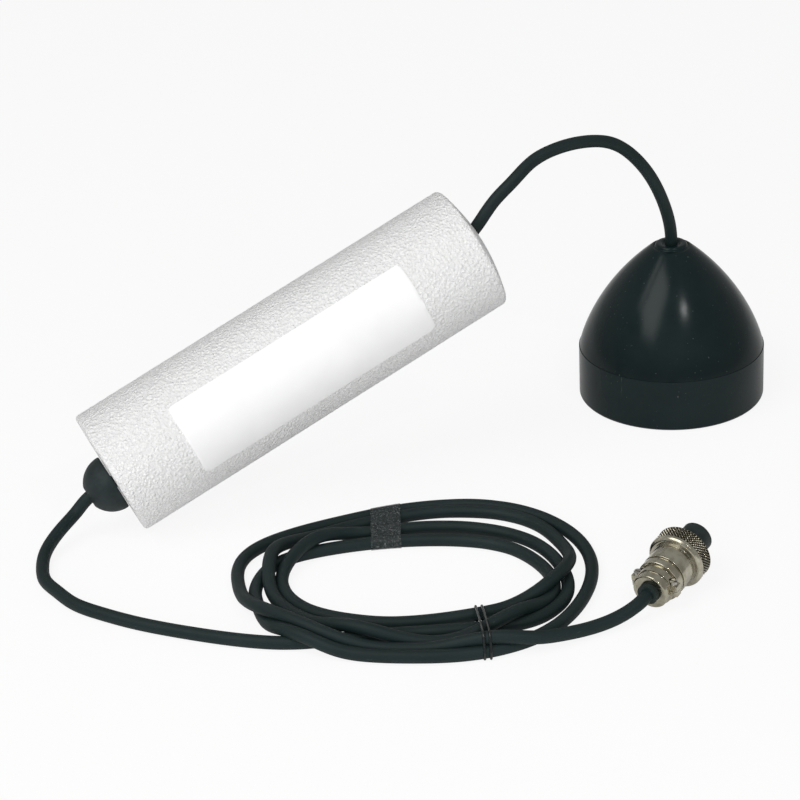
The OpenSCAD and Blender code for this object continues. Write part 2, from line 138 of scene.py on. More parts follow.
class Finish(NodeSet):
    # a material with its Principled shader; fixed values go straight onto the shader's sockets
    def __init__(self, name, fixed):
        self.material = bpy.data.materials.new(name)
        self.material.use_nodes = True
        super().__init__(self.material.node_tree)
        self.shader = self.tree.nodes["Principled BSDF"]
        self.dress(fixed)
        self.place = self.node("ShaderNodeTexCoord", out="Object")

    def dress(self, sockets):
        for key, value in sockets.items():
            plugIn(self.tree, self.shader.inputs[key], value)
        return self.material

    def onUv(self, scale):
        # the piece's own map: metres along, then once around
        spread = self.node("ShaderNodeTexCoord", out="UV")
        return self.node("ShaderNodeMapping", None, {"Vector": spread, "Scale": scale})

    def turned(self, scale, turn=(0, 0, 0)):
        return self.node("ShaderNodeMapping", None, {"Vector": self.place, "Scale": scale, "Rotation": turn})

    def noise(self, scale, detail=2.0, rough=0.5, place=None):
        return self.node("ShaderNodeTexNoise", None, {"Vector": place or self.place, "Scale": scale,
                                                      "Detail": detail, "Roughness": rough})

    def cells(self, scale):
        return self.node("ShaderNodeTexVoronoi", None, {"Vector": self.place, "Scale": scale})

    def between(self, value, low, high):
        return self.node("ShaderNodeMapRange", {"interpolation_type": "SMOOTHSTEP"},
                         {"Value": value, "From Min": low, "From Max": high})

    def blend(self, factor, first, second):
        return self.node("ShaderNodeMix", {"data_type": "RGBA"}, {0: factor, 6: first, 7: second}, 2)

    def bump(self, height, strength, depth):
        return self.node("ShaderNodeBump", None, {"Height": height, "Strength": strength, "Distance": depth})


def tone(red, green, blue):
    return (red, green, blue, 1.0)


# the foot tone is painted shade: the dome's lower slope drawn darker than its upper part
puckLook = {"deep": tone(0.0044, 0.0114, 0.0120), "pale": tone(0.0068, 0.0150, 0.0156),
            "foot": tone(0.0030, 0.0084, 0.0090), "dust": tone(0.13, 0.145, 0.145),
            "scratch": tone(0.055, 0.066, 0.066), "gloss": 0.19,
            "seam": (0.0183, 0.0186), "fade": (0.0190, 0.0290)}  # heights in metres


def puckPlastic():
    # satin moulded plastic: broad mould shading, painted shade darkening the dome's foot, pin-head dust,
    # thin upright scratches
    skin = Finish("puckPlastic", {"Specular IOR Level": puckLook["gloss"]})
    cloud = skin.noise(48, 4, 0.6)
    grain = skin.noise(2400, 2)
    speck = skin.between(skin.noise(1150, 1.5, 0.6), 0.72, 0.79)
    line = skin.between(skin.noise(900, 2, 0.5, skin.turned((1, 1, 0.03), (0.12, 0.2, 0))), 0.70, 0.76)
    worn = skin.between(skin.noise(120, 3), 0.52, 0.68)
    height = skin.node("ShaderNodeSeparateXYZ", None, {"Vector": skin.place}, "Z")
    # painted shade: darkest just above the seam, fading out higher up the dome
    foot = skin.between(height, *puckLook["seam"]) * (1.0 - skin.between(height, *puckLook["fade"]))
    base = skin.blend(skin.between(cloud, 0.3, 0.7), puckLook["deep"], puckLook["pale"])
    base = skin.blend(foot * 0.8, base, puckLook["foot"])
    base = skin.blend(line * worn * 0.45, base, puckLook["scratch"])
    base = skin.blend(speck * 0.38, base, puckLook["dust"])
    rough = 0.15 + cloud * 0.07 + grain * 0.05 + speck * 0.25 + line * worn * 0.12
    return skin.dress({"Base Color": base, "Roughness": rough,
                       "Normal": skin.bump(grain * 0.4 + cloud * 1.2 - line * worn, 0.16, 0.00005)})


cableLook = {"deep": tone(0.0068, 0.0142, 0.0145), "pale": tone(0.0122, 0.0215, 0.0218),
             "scuff": tone(0.060, 0.072, 0.072), "gloss": 0.22}


def cableJacket():
    # extruded jacket: fine draw lines along it, soft patches, a few scuffs
    skin = Finish("cableJacket", {"Specular IOR Level": cableLook["gloss"]})
    drawn = skin.noise(1.0, 3, 0.6, skin.onUv((14, 26, 1)))
    patch = skin.noise(1.0, 2, 0.5, skin.onUv((45, 2, 1)))
    grain = skin.noise(3000, 2)
    scuff = skin.between(skin.noise(1.0, 2, 0.6, skin.onUv((260, 7, 1))), 0.68, 0.78)
    base = skin.blend(skin.between(patch * 0.6 + drawn * 0.4, 0.3, 0.7), cableLook["deep"], cableLook["pale"])
    base = skin.blend(scuff * 0.35, base, cableLook["scuff"])
    return skin.dress({"Base Color": base, "Roughness": 0.46 + drawn * 0.16 + grain * 0.06,
                       "Normal": skin.bump(drawn * 0.7 + grain * 0.5, 0.25, 0.00008)})


def stopRubber():
    # moulded rubber, a little dusty
    skin = Finish("stopRubber", {"Specular IOR Level": 0.22})
    cloud = skin.noise(220, 3)
    grain = skin.noise(2600, 2)
    dust = skin.between(skin.noise(1700, 2, 0.6), 0.66, 0.8)
    base = skin.blend(skin.between(cloud, 0.3, 0.7), tone(0.0145, 0.0215, 0.022), tone(0.024, 0.033, 0.034))
    base = skin.blend(dust * 0.4, base, tone(0.08, 0.095, 0.095))
    return skin.dress({"Base Color": base, "Roughness": 0.50 + cloud * 0.14,
                       "Normal": skin.bump(grain + cloud, 0.25, 0.00008)})


def insertPlastic():
    # moulded insert and cable sleeve of the plug
    skin = Finish("insertPlastic", {"Specular IOR Level": 0.24})
    cloud = skin.noise(350, 3)
    grain = skin.noise(3800, 2)
    base = skin.blend(skin.between(cloud, 0.3, 0.7), tone(0.0110, 0.0190, 0.0180), tone(0.019, 0.029, 0.0275))
    return skin.dress({"Base Color": base, "Roughness": 0.42 + grain * 0.12,
                       "Normal": skin.bump(grain, 0.2, 0.00005)})


# the hollow tone is painted shade for the hollows between the grains
foamLook = {"bead": tone(0.90, 0.90, 0.893), "hollowShade": tone(0.81, 0.81, 0.808), "gloss": 0.5}


def whiteFoam():
    # moulded skin: small rounded grains, greyer in the hollows as painted shade, with glints on their crowns
    skin = Finish("whiteFoam", {"Specular IOR Level": foamLook["gloss"]})
    fine = skin.noise(1700, 3, 0.6)
    grain = skin.cells(900)
    broad = skin.noise(70, 3)
    crown = 1.0 - skin.between(grain, 0.1, 0.75)
    # painted shade: the grain hollows drawn greyer than the crowns
    base = skin.blend(skin.between(fine * 0.6 + crown * 0.4, 0.25, 0.6), foamLook["hollowShade"], foamLook["bead"])
    base = skin.blend(skin.between(broad, 0.45, 0.75) * 0.2, base, tone(0.845, 0.845, 0.84))
    return skin.dress({"Base Color": base, "Roughness": 0.22 + fine * 0.22,
                       "Normal": skin.bump(crown * 0.6 + fine * 1.2, 0.85, 0.0006)})


def labelVinyl():
    # smooth bare white label
    skin = Finish("labelVinyl", {"Specular IOR Level": 0.4})
    cloud = skin.noise(90, 3)
    grain = skin.noise(900, 2)
    base = skin.blend(skin.between(cloud, 0.35, 0.65), tone(0.87, 0.87, 0.87), tone(0.89, 0.89, 0.89))
    return skin.dress({"Base Color": base, "Roughness": 0.38 + grain * 0.1,
                       "Normal": skin.bump(cloud + grain * 0.4, 0.15, 0.0001)})


def platedMetal(name, dark, bright, rough, brushed, grooveShade=None):
    # bright plate over turned metal: fine turning lines, cloudy tarnish, small bright knocks,
    # and painted shade in the grooves where the piece's own "dip" value is high
    skin = Finish(name, {"Metallic": 1.0})
    cloud = skin.noise(260, 4, 0.6)
    lines = skin.noise(brushed, 2, 0.6)
    knock = skin.between(skin.noise(1500, 2, 0.6), 0.68, 0.76)
    base = skin.blend(skin.between(cloud, 0.32, 0.68), dark, bright)
    base = skin.blend(knock * 0.35, base, tone(0.70, 0.68, 0.60))
    # painted shade: the grooves drawn dark by their depth
    if grooveShade:
        dip = skin.node("ShaderNodeAttribute", {"attribute_name": "dip"}, None, "Fac")
        base = skin.blend(skin.between(dip, 0.08, 0.55), base, grooveShade)
    return skin.dress({"Base Color": base, "Roughness": rough + cloud * 0.10 + lines * 0.08,
                       "Normal": skin.bump(lines * 0.6 + cloud, 0.2, 0.00005)})


def tieGloss():
    # glossy black tie
    skin = Finish("tieGloss", {"Specular IOR Level": 0.5})
    cloud = skin.noise(500, 3)
    base = skin.blend(cloud, tone(0.004, 0.006, 0.006), tone(0.010, 0.013, 0.013))
    return skin.dress({"Base Color": base, "Roughness": 0.12 + cloud * 0.12,
                       "Normal": skin.bump(cloud, 0.2, 0.0001)})


def clearTape():
    # clear tape over dark cable: grey film with pale dust under it and hazy creases
    skin = Finish("clearTape", {"Specular IOR Level": 0.5})
    cloud = skin.noise(300, 3)
    crease = skin.between(skin.noise(700, 3, 0.6, skin.turned((1, 1, 0.35))), 0.5, 0.72)
    dust = skin.between(skin.noise(1700, 2, 0.65), 0.54, 0.68)
    base = skin.blend(dust, tone(0.032, 0.042, 0.043), tone(0.125, 0.138, 0.138))
    base = skin.blend(crease * 0.3, base, tone(0.11, 0.12, 0.12))
    return skin.dress({"Base Color": base, "Roughness": 0.30 + cloud * 0.22,
                       "Alpha": 0.30 + dust * 0.45 + crease * 0.2,
                       "Normal": skin.bump(crease + dust * 0.5, 0.3, 0.0001)})


def innerFinish(name, dark, bright, scale, rough, metallic=0.0):
    # pieces sealed inside: plain grain of their own material
    skin = Finish(name, {"Metallic": metallic})
    cloud = skin.noise(scale, 4, 0.6)
    base = skin.blend(skin.between(cloud, 0.3, 0.7), dark, bright)
    return skin.dress({"Base Color": base, "Roughness": rough + cloud * 0.15,
                       "Normal": skin.bump(cloud, 0.2, 0.00008)})


finishes = {
    "puck": puckPlastic(),
    "cable": cableJacket(),
    "stop": stopRubber(),
    "insert": insertPlastic(),
    "foam": whiteFoam(),
    "label": labelVinyl(),
    "nickel": platedMetal("nickelPlate", tone(0.37, 0.345, 0.262), tone(0.55, 0.52, 0.42), 0.07, 2600),
    # the last tone of the knurled plate is painted shade for the knurl grooves
    "knurl": platedMetal("knurledPlate", tone(0.40, 0.375, 0.29), tone(0.60, 0.57, 0.465), 0.10, 2600,
                         tone(0.055, 0.048, 0.034)),
    "steel": platedMetal("screwSteel", tone(0.40, 0.385, 0.34), tone(0.54, 0.52, 0.47), 0.16, 3200),
    "tie": tieGloss(),
    "tape": clearTape(),
    "brass": innerFinish("contactBrass", tone(0.42, 0.28, 0.08), tone(0.55, 0.40, 0.14), 700, 0.25, 1.0),
    "copper": innerFinish("wireCopper", tone(0.45, 0.17, 0.07), tone(0.60, 0.25, 0.12), 900, 0.28, 1.0),
    "solder": innerFinish("tinSolder", tone(0.40, 0.40, 0.41), tone(0.55, 0.55, 0.56), 800, 0.3, 1.0),
    "ceramic": innerFinish("crystalCeramic", tone(0.60, 0.55, 0.44), tone(0.70, 0.65, 0.54), 900, 0.4),
    "cork": innerFinish("backingCork", tone(0.22, 0.12, 0.05), tone(0.42, 0.26, 0.13), 600, 0.7),
    "resin": innerFinish("pottingResin", tone(0.025, 0.018, 0.010), tone(0.05, 0.036, 0.020), 200, 0.3),
}
print("finishes made:", len(finishes))


# surfaces
def smoothCurve(points, step):
    # natural cubic spline: second slopes from one linear solve over the chord lengths, then even steps
    points = np.asarray(points, float)
    gap = np.linalg.norm(np.diff(points, axis=0), axis=1)
    reach = np.concatenate([[0], np.cumsum(gap)])
    count = len(points)
    inner = np.arange(1, count - 1)
    weights = np.eye(count)
    weights[inner, inner - 1] = gap[:-1]
    weights[inner, inner] = 2 * (gap[:-1] + gap[1:])
    weights[inner, inner + 1] = gap[1:]
    change = np.zeros((count, 3))
    change[1:-1] = 6 * np.diff(np.diff(points, axis=0) / gap[:, None], axis=0)
    bend = np.linalg.solve(weights, change)
    fine = np.linspace(0, reach[-1], int(reach[-1] / step) * 8)
    k = np.clip(np.searchsorted(reach, fine, side="right") - 1, 0, count - 2)
    span = gap[k][:, None]
    left = (reach[k + 1] - fine)[:, None] / span
    rest = 1 - left
    curve = left * points[k] + rest * points[k + 1]
    curve += ((left**3 - left) * bend[k] + (rest**3 - rest) * bend[k + 1]) * span**2 / 6
    return evenly(curve, int(round(lengthOf(curve) / step)) + 1)


def lengthOf(curve):
    # sum of the steps from point to point
    return float(np.linalg.norm(np.diff(curve, axis=0), axis=1).sum())


def evenly(curve, count):
    # the same line with its points an equal length apart
    run = np.concatenate([[0], np.cumsum(np.linalg.norm(np.diff(curve, axis=0), axis=1))])
    spots = np.linspace(0, run[-1], count)
    return np.stack([np.interp(spots, run, column) for column in curve.T], 1)


def eased(corners, cuts, steps, closed=True):
    # each corner becomes a quadratic curve that leaves its two edges a cut away from the corner
    corners = np.asarray(corners, float)
    cuts = np.broadcast_to(np.asarray(cuts, float), len(corners))
    before = np.roll(corners, 1, 0) - corners
    after = np.roll(corners, -1, 0) - corners
    longBefore = np.linalg.norm(before, axis=1)
    longAfter = np.linalg.norm(after, axis=1)
    cut = np.minimum(cuts, 0.46 * np.minimum(longBefore, longAfter))[:, None]
    start = corners + before / longBefore[:, None] * cut
    end = corners + after / longAfter[:, None] * cut
    t = np.linspace(0, 1, steps)[None, :, None]
    curve = (1 - t)**2 * start[:, None] + 2 * t * (1 - t) * corners[:, None] + t**2 * end[:, None]
    if closed:
        return curve.reshape(-1, 2)
    return np.vstack([corners[:1], curve[1:-1].reshape(-1, 2), corners[-1:]])


def bezier(first, handle, pull, last, count):
    # cubic curve from first to last with two handles
    t = np.linspace(0, 1, count)[:, None]
    first, handle, pull, last = (np.asarray(p, float) for p in (first, handle, pull, last))
    return (1 - t)**3 * first + 3 * t * (1 - t)**2 * handle + 3 * t**2 * (1 - t) * pull + t**3 * last


def evenTurn(sides):
    # the angle of each side, evenly round a full turn
    return np.arange(sides) * 2 * np.pi / sides


def turnedGrid(profile, sides):
    # (r cos t, r sin t, h): a profile of radius and height turned about the axis
    turn = evenTurn(sides)
    radius, height = np.asarray(profile, float).T
    return np.stack([np.outer(radius, np.cos(turn)), np.outer(radius, np.sin(turn)),
                     np.outer(height, np.ones(sides))], -1)


def swept(path, ring, lean):
    # path point + ring x along the side vector + ring y along the vector square to both
    along = unit(np.gradient(path, axis=0))
    side = unit(np.cross(lean, along))
    over = np.cross(along, side)
    return path[:, None] + ring[None, :, :1] * side[:, None] + ring[None, :, 1:] * over[:, None]


def circle(radius, sides):
    # (r cos t, r sin t) at each side
    turn = evenTurn(sides)
    return radius * np.stack([np.cos(turn), np.sin(turn)], 1)


def placed(points, origin, axes):
    # local x, y, z along the three axes, from the origin
    return np.asarray(points) @ np.asarray(axes) + np.asarray(origin)


def gridFaces(rows, cols, wrapRows):
    # four corners of every cell; columns always close on themselves
    i, j = np.meshgrid(np.arange(rows if wrapRows else rows - 1), np.arange(cols), indexing="ij")
    i, j = i.ravel(), j.ravel()
    quadRow = np.stack([i, i, i + 1, i + 1], 1)
    quadCol = np.stack([j, j + 1, j + 1, j], 1)
    return (quadRow % rows) * cols + quadCol % cols, quadRow, quadCol


def makePiece(name, grid, finish, body, wrapRows=False, poles=(None, None), crease=35.0, replaces=(),
              dip=None):
    # rows x columns of points in millimetres; a pole closes the first or last ring with a fan;
    # dip, where given, is kept as a value on each point for the finish
    rows, cols = grid.shape[:2]
    points = [grid.reshape(-1, 3)]
    quads, quadRow, quadCol = gridFaces(rows, cols, wrapRows)
    run = np.linalg.norm(np.diff(grid, axis=0), axis=-1).mean(1)
    run = np.concatenate([[0], np.cumsum(run), [0]]) * mm
    run[-1] = run[-2] + (np.linalg.norm(grid[0] - grid[-1], axis=-1).mean() * mm if wrapRows else 0)
    uv = [np.stack([run[quadRow], quadCol / cols], -1).reshape(-1, 2)]
    loops, sizes = [quads.ravel()], [np.full(len(quads), 4)]
    ring = np.arange(cols)
    for end, pole in enumerate(poles):
        if pole is None:
            continue
        tip = np.full(cols, sum(len(p) for p in points))
        base = 0 if end == 0 else (rows - 1) * cols
        pair = (base + (ring + 1) % cols, base + ring)
        pair = pair if end == 0 else pair[::-1]
        loops.append(np.stack([tip, *pair], 1).ravel())
        sizes.append(np.full(cols, 3))
        points.append(np.asarray(pole, float)[None])
        uv.append(np.zeros((cols * 3, 2)))
    points, loops = np.vstack(points) * mm, np.concatenate(loops)
    sizes, uv = np.concatenate(sizes), np.vstack(uv)
    mesh = bpy.data.meshes.new(name)
    mesh.vertices.add(len(points))
    mesh.vertices.foreach_set("co", points.ravel())
    mesh.loops.add(len(loops))
    mesh.loops.foreach_set("vertex_index", loops.astype(np.int32))
    mesh.polygons.add(len(sizes))
    mesh.polygons.foreach_set("loop_start", np.concatenate([[0], np.cumsum(sizes)[:-1]]).astype(np.int32))
    mesh.polygons.foreach_set("use_smooth", np.ones(len(sizes), bool))
    mesh.uv_layers.new(name="spread").data.foreach_set("uv", uv.ravel())
    if dip is not None:
        mesh.attributes.new("dip", "FLOAT", "POINT").data.foreach_set("value", dip.ravel())
    mesh.update(calc_edges=True)
    mesh.validate()
    mesh.set_sharp_from_angle(angle=np.radians(crease))
    mesh.materials.append(finish)
    piece = bpy.data.objects.new(name, mesh)
    scene.collection.objects.link(piece)
    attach(piece, body)
    if replaces:
        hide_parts(*replaces)
    return piece


# cable, from inside the puck through the float, round the coil and into the plug
floatSet = {"foot": (-179.6, -102.2, 20.005), "tilt": 23.24, "yaw": 26.0, "radius": 21.5, "length": 139.0,
            "bore": 7.0, "dome": 3.2}
plugSet = {"at": (-6.5, -152.4, 6.557), "tilt": 9.0, "yaw": 61.2}


def leaning(tilt, yaw, flip):
    # axes of a piece whose length points along yaw and rises by tilt: x up or down, y across, z along
    t, y = np.radians(tilt), np.radians(yaw)
    along = np.array([np.cos(t) * np.cos(y), np.cos(t) * np.sin(y), np.sin(t)])
    over = np.array([-np.sin(t) * np.cos(y), -np.sin(t) * np.sin(y), np.cos(t)]) * flip
    return np.stack([over, np.cross(along, over), along])


floatAxes = leaning(floatSet["tilt"], floatSet["yaw"], -1)
plugAxes = leaning(plugSet["tilt"], plugSet["yaw"], 1)


def onFloat(points):
    # from the float's own frame, z along its axis
    return placed(points, floatSet["foot"], floatAxes)


def onPlug(points):
    # from the plug's own frame, z from the clamp to the nose
    return placed(points, plugSet["at"], plugAxes)


def inFloat(along, up):
    # a point at a length along the float's axis and a height above it
    return tuple(onFloat([-up, 0, along]))


def atPlug(along):
    return tuple(onPlug([0, 0, along]))


boreSet = {"parts": (0.88, 0.72, 0.56, 0.4, 0.24, 0.1), "low": -3.2, "rise": 7.9, "bendFrom": 0.1}


def inBore(part):
    # the cable lies low at the stop and rises in a shallow curve towards the float's upper mouth
    bend = (part - boreSet["bendFrom"]) / (1 - boreSet["bendFrom"]) * part
    return inFloat(floatSet["length"] * part, boreSet["low"] + boreSet["rise"] * bend)


cableSet = {
    "diameter": 4.2, "step": 1.3, "sides": 18, "lean": (0.75, -0.3, 0.6), "exit": (0, 0, 58.1),
    "arch": [(0, 0, 46), (0, 0, 58.1), (-0.8, -2.6, 65.5), (-3.1, -6, 74.7), (-6.9, -9.2, 84.1),
             (-12.5, -12.6, 92.7), (-19.5, -16.9, 99.1), (-28, -22.5, 101.9), (-36, -27.8, 102.1),
             (-45, -33.4, 99.4),
             inFloat(160.5, 12.4), inFloat(152.8, 10.1), inFloat(146.8, 7.2), inFloat(142.2, 4.9)],
    "bore": [inBore(part) for part in boreSet["parts"]],
    "lead": [inFloat(0, boreSet["low"]), inFloat(-11, -3.6), inFloat(-15, -5.2), (-193.5, -112.6, 6.9),
             (-196.3, -118, 4.8), (-197.9, -125, 3), (-197.2, -132.4, 2.2), (-194.8, -140, 2.1),
             (-189.8, -146.6, 2.1), (-183, -154, 2.1), (-174, -159.6, 2.1), (-162, -165.2, 2.1)],
    # four turns and the way to the plug, settled so that strands lie a cable's width apart
    "coil": [
        (-151.5, -168.9, 2.1), (-141.9, -171.7, 2.1), (-132.2, -174.1, 2.1), (-122.4, -175.8, 2.1),
        (-112.6, -176.2, 2.1), (-102.7, -174.7, 2.1), (-92.9, -172.9, 2.1), (-82.8, -170.8, 2.1),
        (-72.3, -169.2, 2.1), (-61.7, -167.6, 2.1), (-51.5, -165.8, 2.1), (-42.4, -162.5, 2.1),
        (-35.5, -155.7, 2.1), (-31.9, -147.1, 2.1), (-31.8, -137.8, 2.1), (-34.4, -128.3, 2.1),
        (-38.9, -119.4, 2.1), (-45.4, -112.2, 2.1), (-53.8, -107.4, 2.1), (-63.2, -104.7, 2.1),
        (-73.2, -104, 2.1), (-83.1, -105, 2.1), (-92.7, -107.7, 2.2), (-102, -111.4, 3.7),
        (-110.3, -117.5, 6), (-117.1, -125.7, 4.9), (-120.4, -134.6, 2.6), (-119.4, -143.5, 2.1),
        (-115, -152, 2.1), (-107.3, -158.7, 2.1), (-97.6, -162.4, 2.1), (-87.7, -164.2, 2.1),
        (-77.6, -163.7, 2.1), (-67.8, -161.6, 2.1), (-58.3, -158.5, 2.1), (-49.4, -154.7, 2.4),
        (-41.7, -150.1, 4.4), (-35.5, -143.2, 6.3), (-31.7, -133.9, 6), (-32, -123.3, 3.8),
        (-35.4, -113, 2.2), (-41, -104, 2.1), (-48.5, -97.8, 2.1), (-56.9, -94.5, 2.1),
        (-65.7, -93.5, 2.1), (-75.2, -94, 2.1), (-85.4, -96.6, 2.1), (-95.3, -100.6, 2.1),
        (-104.7, -105.5, 2.1), (-113.1, -111.3, 2.4), (-119.7, -118.2, 4.3), (-123.9, -126.5, 6.2),
        (-124.6, -135.8, 5.9), (-123.1, -145.1, 3.2), (-119.2, -153.1, 2.1), (-112.9, -160.4, 2.1),
        (-105.4, -166.9, 3.4), (-96.7, -171.8, 5.8), (-87, -174.7, 5.3), (-77.4, -175.3, 2.9),
        (-67.8, -174.8, 2.1), (-58.4, -172.5, 3.9), (-50, -167.2, 6), (-43.1, -159.4, 5),
        (-37.7, -151.2, 2.6), (-35.7, -142.4, 2.1), (-37.8, -133.3, 2.1), (-42.9, -124.8, 2.1),
        (-50.3, -117.7, 2.1), (-59.3, -113.9, 2.1), (-69.2, -112.5, 2.1), (-79.4, -112.7, 2.1),
        (-89.8, -113.9, 2.1), (-100.1, -116.3, 2.1), (-110.2, -119.8, 2.1), (-118.1, -123.9, 2.1),
        (-123.9, -129.5, 2.1), (-127, -137.2, 2.1), (-127.7, -146.2, 2.1), (-125.4, -155.6, 2.1),
        (-121.5, -165.4, 2.6), (-115.5, -173.5, 5.2), (-107.4, -178.9, 5.4), (-98.2, -181.7, 3),
        (-88.3, -183, 2.1), (-78.1, -183.5, 2.1), (-67.8, -183.1, 2.1), (-57.8, -181.3, 2.1),
        (-48.6, -177.7, 2.1), (-40.7, -172.4, 2.1), (-34.2, -165.1, 2.1), (-29.3, -156, 2.1),
        (-26.1, -146.2, 2.1), (-24.5, -136.1, 2.1), (-24.8, -126.2, 2.1), (-27.1, -116.9, 2.1),
        (-31.2, -108.6, 2.1), (-36.8, -101.6, 2.1), (-43.7, -95.8, 2.1), (-52.4, -91.5, 2.1),
        (-63.2, -89.3, 2.1), (-74.5, -89.9, 2.1), (-85.2, -92.3, 2.1), (-95.1, -95.9, 2.1),
        (-104.3, -100.3, 2.1), (-113.2, -105, 2.1), (-121.5, -110.2, 2.1), (-128.7, -116.4, 2.1),
        (-133.4, -123.7, 2.1), (-134.9, -132.4, 2.1), (-133.4, -142.4, 2.2), (-130.1, -152.9, 3.8),
        (-124.3, -161.9, 6.1), (-116.4, -168.3, 6.9), (-107.9, -173.8, 6.5), (-98.8, -177.5, 4.8),
        (-89.2, -178.9, 2.6), (-79.3, -179.4, 2.1), (-69.5, -179.2, 2.6), (-59.7, -178.6, 4.7),
        (-49.7, -178.3, 6.1), (-40.1, -176.6, 4.9), (-31.5, -172.3, 3.6), (-25, -168.2, 2.9),
        (-18.8, -164.2, 3), (-13.4, -160.4, 4)],
    "tail": [atPlug(-4.0), atPlug(0), atPlug(7.9)],
}


def makeCable():
    # a circle carried along one smooth curve through all stretches of the route
    route = cableSet["arch"] + cableSet["bore"] + cableSet["lead"] + cableSet["coil"] + cableSet["tail"]
    path = smoothCurve(route, cableSet["step"])
    grid = swept(path, circle(cableSet["diameter"] / 2, cableSet["sides"]), cableSet["lean"])
    piece = makePiece("transducer_cable", grid, finishes["cable"], "transducer",
                      poles=(path[0], path[-1]), replaces=("drop_cable", "cable_coil", "tail_cable"))
    return piece, path


cable, cablePath = makeCable()

# puck: base cup, dome and gland, all turned about the upright axis
puckSet = {
    "sides": 160, "ease": 6, "glandSides": 72,
    "cup": [(0, 0), (31.2, 0), (32, 0.8), (32, 18.4), (29.4, 18.4), (29.4, 3), (0, 3)],
    "cupCut": [0, 0.5, 0.5, 0.05, 0.3, 0.3, 0],
    "bell": [(31.8, 18.4), (31.3, 20.9), (26.712, 38.732), (6.9, 55.1)], "bellRows": 44,
    "core": [(26.9, 18.4), (26.7, 20.4), (22.596, 35.995), (4, 52.6)], "coreRows": 20,
    "seat": [(6.1, 55.2), (6.1, 54.4), (4, 54.4)],
    "spigot": [(26.9, 15.4), (29.35, 15.4), (29.35, 18.4)],
    "domeCut": 0.3, "seamCut": 0.05, "noseCut": 0.6,
    "gland": [(2.12, 52.6), (4, 52.6), (4, 54.4), (6.05, 54.4), (6.05, 55.0), (5.7, 55.1), (5.2, 56.3),
              (3.4, 56.3), (2.7, 55.5), (2.12, 55.7)],
    "glandCut": [0.05, 0.2, 0.2, 0.2, 0.06, 0.22, 0.58, 0.5, 0.3, 0.1],
}


def domeProfile():
    # outer bell from the seam to the nose, seat for the gland, inner bell back down, then the spigot
    s = puckSet
    outer = bezier(*s["bell"], s["bellRows"])
    inner = bezier(*s["core"], s["coreRows"])[::-1]
    corners = np.vstack([outer, s["seat"], inner, s["spigot"]])
    cuts = np.full(len(corners), s["domeCut"])
    cuts[0], cuts[len(outer) - 1] = s["seamCut"], s["noseCut"]
    return eased(corners, cuts, 4)


def makePuck():
    # three eased profiles turned about the upright axis; the cup is closed by a fan at each pole
    s = puckSet
    cup = eased(s["cup"], s["cupCut"], s["ease"], closed=False)
    makePiece("puck_base_cup", turnedGrid(cup[1:-1], s["sides"]), finishes["puck"],
              "transducer", poles=((0, 0, cup[0, 1]), (0, 0, cup[-1, 1])), crease=14, replaces=("base_cup",))
    makePiece("puck_dome", turnedGrid(domeProfile(), s["sides"]), finishes["puck"],
              "transducer", wrapRows=True, crease=20, replaces=("housing_dome",))
    gland = eased(s["gland"], s["glandCut"], 5)
    makePiece("puck_gland", turnedGrid(gland, s["glandSides"]), finishes["puck"], "transducer",
              wrapRows=True, replaces=("cable_gland",))


makePuck()
print("puck made")


# float: foam body, bare label and rubber stop
foamSet = {"edge": 1.5, "boreEdge": 1.0, "sides": 280, "bodyRows": 288, "endRows": 28, "edgeRows": 6,
           "boreRows": 16, "pebble": 1.3, "pebbleDepth": 0.13, "pebbleCurve": 1.4,
           "dent": 16.0, "dentDepth": 0.10, "dentReach": 1.1, "seed": 11}


def nearestGrain(points, size, seed):
    # distance to the nearest of one jittered point in every cube of the given size
    span = 32
    jitter = np.random.default_rng(seed).random((span, span, span, 3))
    cell = np.floor(points / size).astype(int)
    near = np.full(len(points), np.inf)
    for step in np.stack(np.meshgrid([-1, 0, 1], [-1, 0, 1], [-1, 0, 1]), -1).reshape(-1, 3):
        spot = cell + step
        apart = np.linalg.norm(spot + jitter[tuple((spot % span).T)] - points / size, axis=1)
        near = np.minimum(near, apart)
    return near


def foamProfile():
    # lower end outwards, rounded edge, side, rounded edge, bulged upper end inwards, bore back down
    s = foamSet
    radius, length, bore = floatSet["radius"], floatSet["length"], floatSet["bore"]
    turn = np.linspace(0, np.pi / 2, s["edgeRows"] + 2)[1:-1]
    edge, rim = s["edge"], s["boreEdge"]
    ends = np.linspace(bore + rim, radius - edge, s["endRows"])
    side = np.linspace(edge, length - edge, s["bodyRows"])
    bulge = length + floatSet["dome"] * (1 - (ends[::-1] / (radius - edge))**2)
    hole = np.linspace(bulge[-1] - rim * 0.8, rim, s["boreRows"])
    lower = np.stack([ends, np.zeros_like(ends)], 1)
    lowEdge = np.stack([radius - edge + edge * np.sin(turn), edge - edge * np.cos(turn)], 1)
    body = np.stack([np.full_like(side, radius), side], 1)
    highEdge = np.stack([radius - edge + edge * np.cos(turn), length - edge + edge * np.sin(turn)], 1)
    upper = np.stack([ends[::-1], bulge], 1)
    inside = np.stack([np.full_like(hole, bore), hole], 1)
    return np.vstack([lower, lowEdge, body, highEdge, upper, inside])


